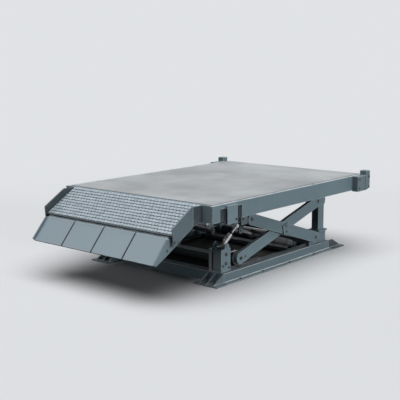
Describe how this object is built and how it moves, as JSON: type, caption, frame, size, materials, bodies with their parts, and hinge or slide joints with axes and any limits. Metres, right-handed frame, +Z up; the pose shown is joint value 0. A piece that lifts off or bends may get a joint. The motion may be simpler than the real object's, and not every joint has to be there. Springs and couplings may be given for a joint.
{
  "type": "dock leveler",
  "caption": "Free-standing dock leveler: a level steel deck on a scissor frame with guide posts and lift cylinders, a treaded front ramp and a hinged lip.",
  "frame": {"origin": "middle of the object's footprint box on the floor", "axes": "+Z up; +X to the right seen from the lip; +Y from the lip towards the dock wall"},
  "size_m": [2.26, 3.468, 0.92],
  "materials": {
    "frame_paint": "satin blue-grey paint, lightly worn",
    "dark_paint": "dark blue-grey paint",
    "lip_paint": "satin light blue-grey paint",
    "deck_steel": "plain steel plate, faintly blotched",
    "tread_steel": "raised tread plate",
    "worn_steel": "run-in steel",
    "bright_chrome": "polished chrome"
  },
  "bodies": {
    "base": {"side_channel_left": "frame_paint", "side_channel_right": "frame_paint", "front_crossbeam": "frame_paint", "mid_crossbeam": "frame_paint", "rear_crossbeam": "frame_paint", "cylinder_beam": "frame_paint", "front_foot_left": "frame_paint", "front_foot_right": "frame_paint", "rear_foot_left": "dark_paint", "rear_foot_right": "dark_paint", "front_post_left": "frame_paint", "front_post_right": "frame_paint", "roller_tracks": "worn_steel", "guide_sleeve_left": "frame_paint", "guide_sleeve_right": "frame_paint", "arm_anchors": "frame_paint"},
    "deck": {"deck_plate": "deck_steel", "skirt_left": "frame_paint", "skirt_right": "frame_paint", "front_header": "dark_paint", "rear_header": "frame_paint", "deck_ribs": "dark_paint", "front_brackets": "frame_paint", "rear_corner_left": "frame_paint", "rear_corner_right": "frame_paint", "guide_post_left": "frame_paint", "guide_post_right": "frame_paint", "arm_lugs": "frame_paint", "deck_rails": "worn_steel", "cylinder_saddles": "frame_paint", "ramp_plate": "tread_steel", "ramp_cheek_left": "frame_paint", "ramp_cheek_right": "frame_paint", "ramp_frame": "dark_paint", "hinge_pin": "bright_chrome"},
    "lip": {"lip_plate": "lip_paint", "lip_knuckles": "dark_paint", "lip_cheeks": "lip_paint", "lip_ribs": "dark_paint"},
    "arms_a": {"inner_arm_left": "frame_paint", "inner_arm_right": "frame_paint", "torque_tube": "dark_paint", "cross_keepers": "frame_paint", "base_rollers": "worn_steel"},
    "arms_b": {"outer_arm_left": "frame_paint", "outer_arm_right": "frame_paint", "tie_tube": "dark_paint", "deck_rollers": "worn_steel"},
    "lift_barrel_pair": {"lift_barrels": "dark_paint"},
    "lift_rod_pair": {"lift_rods": "bright_chrome"},
    "front_barrel_pair": {"front_barrels": "bright_chrome"},
    "front_rod_pair": {"front_rods": "bright_chrome"}
  },
  "joints": [
    {"name": "deck_lift", "type": "slide", "parent": "base", "child": "deck", "axis": [0, 0, 1], "range_m": [-0.12, 0.05]},
    {"name": "lip_hinge", "type": "hinge", "parent": "deck", "child": "lip", "pos_m": [0, -1.50526, 0.60908], "axis": [-1, 0, 0], "range_deg": [-40, 49]},
    {"name": "inner_arm_pivot", "type": "hinge", "parent": "deck", "child": "arms_a", "pos_m": [0, 1.05804, 0.6035], "axis": [1, 0, 0], "range_deg": [-4.71, 1.96]},
    {"name": "outer_arm_pivot", "type": "hinge", "parent": "base", "child": "arms_b", "pos_m": [0, 0.93504, 0.2085], "axis": [1, 0, 0], "range_deg": [-2.36, 5.66]},
    {"name": "lift_barrel_pivot", "type": "hinge", "parent": "base", "child": "lift_barrel_pair", "pos_m": [0, 0.86429, 0.1], "axis": [1, 0, 0], "range_deg": [-2.44, 5.86]},
    {"name": "lift_rod_slide", "type": "slide", "parent": "lift_barrel_pair", "child": "lift_rod_pair", "axis": [0, -0.9515, 0.3076], "range_m": [-0.01218, 0.00508]},
    {"name": "front_barrel_pivot", "type": "hinge", "parent": "base", "child": "front_barrel_pair", "pos_m": [0, -0.59796, 0.358], "axis": [1, 0, 0], "range_deg": [-22.44, 9.35]},
    {"name": "front_rod_slide", "type": "slide", "parent": "front_barrel_pair", "child": "front_rod_pair", "axis": [0, 0.7962, 0.605], "range_m": [-0.05437, 0.02265]}
  ],
  "couplings": [
    {"joint": "inner_arm_pivot", "follows": "deck_lift", "rad_per_m": 0.6812},
    {"joint": "outer_arm_pivot", "follows": "deck_lift", "rad_per_m": -0.81833},
    {"joint": "lift_barrel_pivot", "follows": "deck_lift", "rad_per_m": -0.8474},
    {"joint": "lift_rod_slide", "follows": "deck_lift", "ratio": 0.101},
    {"joint": "front_barrel_pivot", "follows": "deck_lift", "rad_per_m": 3.2476},
    {"joint": "front_rod_slide", "follows": "deck_lift", "ratio": 0.4508}
  ]
}
